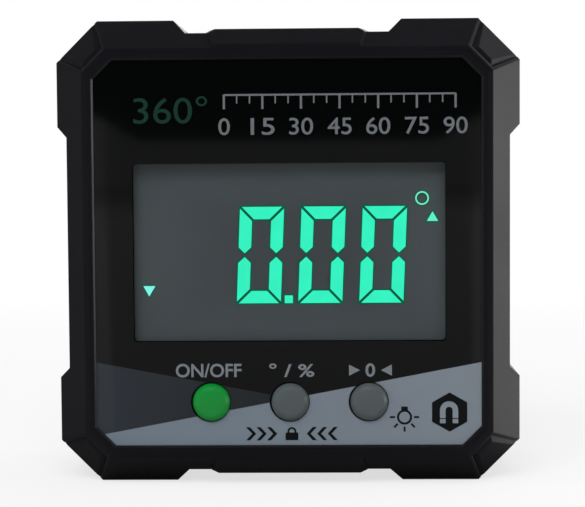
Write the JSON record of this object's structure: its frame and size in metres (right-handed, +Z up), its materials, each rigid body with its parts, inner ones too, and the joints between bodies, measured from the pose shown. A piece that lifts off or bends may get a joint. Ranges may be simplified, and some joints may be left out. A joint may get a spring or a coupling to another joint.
{
  "type": "digital angle gauge",
  "caption": "Square magnetic digital angle gauge with a lit display, three press keys, magnets in all four sides and a battery bay behind a lift-off cover.",
  "frame": {"origin": "middle of the underside: half way across and half way through the overall depth, at the level of the bottom feet", "axes": "+X to the right of a user who reads the display, +Z up, the display faces -Y"},
  "size_m": [0.06, 0.0274, 0.06],
  "materials": {
    "case_black": "satin moulded ABS, very fine grain",
    "panel_gloss": "clear acrylic plate printed black behind, with a clear display window",
    "display_grey": "dark greenish grey negative display behind glass",
    "frame_grey": "plain moulded plastic",
    "backlight_white": "white light guide",
    "contact_rubber": "striped conductive rubber",
    "board_green": "green solder mask",
    "chip_black": "moulded epoxy",
    "key_green": "satin coloured key",
    "key_grey": "satin coloured key",
    "bare_steel": "bright tin plated spring steel",
    "black_screw": "black zinc plated steel",
    "magnet_nickel": "nickel plated magnet",
    "cell_sleeve": "printed metallic sleeve, unmarked"
  },
  "bodies": {
    "case": {"front_shell": "case_black", "rear_shell": "case_black", "face_panel": "panel_gloss", "display_glass": "display_grey", "display_frame": "frame_grey", "backlight_panel": "backlight_white", "contact_strip": "contact_rubber", "circuit_board": "board_green", "microcontroller": "chip_black", "power_switch": "chip_black", "mode_switch": "chip_black", "zero_switch": "chip_black", "tilt_sensor": "bare_steel", "upper_spring": "bare_steel", "lower_spring": "bare_steel", "positive_terminal": "bare_steel", "negative_terminal": "bare_steel", "bridge_contact": "bare_steel", "board_screw_1": "bare_steel", "board_screw_2": "bare_steel", "board_screw_3": "bare_steel", "board_screw_4": "bare_steel", "case_screw_1": "black_screw", "case_screw_2": "black_screw", "case_screw_3": "black_screw", "case_screw_4": "black_screw", "magnet_top_left": "magnet_nickel", "magnet_top_right": "magnet_nickel", "magnet_right_upper": "magnet_nickel", "magnet_right_lower": "magnet_nickel", "magnet_bottom_right": "magnet_nickel", "magnet_bottom_left": "magnet_nickel", "magnet_left_lower": "magnet_nickel", "magnet_left_upper": "magnet_nickel", "upper_battery": "cell_sleeve", "lower_battery": "cell_sleeve"},
    "power_key_body": {"power_key": "key_green", "power_plunger": "frame_grey"},
    "mode_key_body": {"mode_key": "key_grey", "mode_plunger": "frame_grey"},
    "zero_key_body": {"zero_key": "key_grey", "zero_plunger": "frame_grey"},
    "battery_cover_body": {"battery_cover": "case_black", "cover_screw": "black_screw"}
  },
  "joints": [
    {"name": "power_key_press", "type": "slide", "parent": "case", "child": "power_key_body", "axis": [0, 1, 0], "range_m": [0, 0.0005], "stiffness_N_per_m": 2000},
    {"name": "mode_key_press", "type": "slide", "parent": "case", "child": "mode_key_body", "axis": [0, 1, 0], "range_m": [0, 0.0005], "stiffness_N_per_m": 2000},
    {"name": "zero_key_press", "type": "slide", "parent": "case", "child": "zero_key_body", "axis": [0, 1, 0], "range_m": [0, 0.0005], "stiffness_N_per_m": 2000},
    {"name": "battery_cover_lift_off", "type": "slide", "parent": "case", "child": "battery_cover_body", "axis": [0, 1, 0], "range_m": [0, 0.02]}
  ]
}
